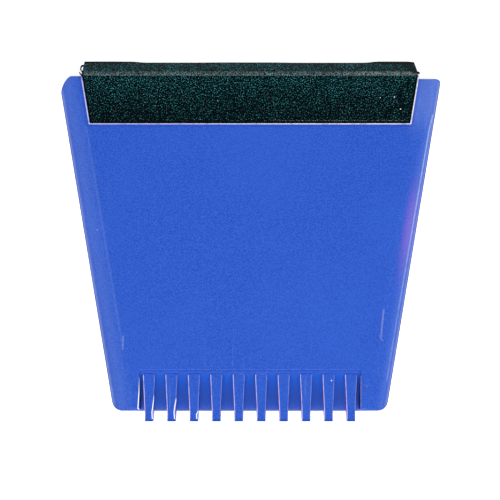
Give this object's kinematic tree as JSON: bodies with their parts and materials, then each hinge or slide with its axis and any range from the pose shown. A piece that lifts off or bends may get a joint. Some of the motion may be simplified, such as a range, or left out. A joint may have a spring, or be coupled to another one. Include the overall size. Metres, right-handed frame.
{
  "type": "windshield ice scraper",
  "caption": "Flat trapezoid hand ice scraper: a hollow plastic body with a toothed ramp above a straight scraping edge, and a rubber wiping lip held between two ears at the wide end.",
  "frame": {"origin": "on the back face, in the middle of the overall width and of the overall length", "axes": "+X across the width, to the right when the front face is seen with the rubber lip at the top; +Y towards the rubber lip; +Z out of the front face, so that the part lies on its back"},
  "size_m": [0.1108, 0.1046, 0.013],
  "materials": {
    "blue_plastic": "satin",
    "dark_rubber": "satin"
  },
  "bodies": {
    "root": {"front_shell": "blue_plastic", "back_cover": "blue_plastic", "wiper_rubber": "dark_rubber"}
  },
  "joints": []
}
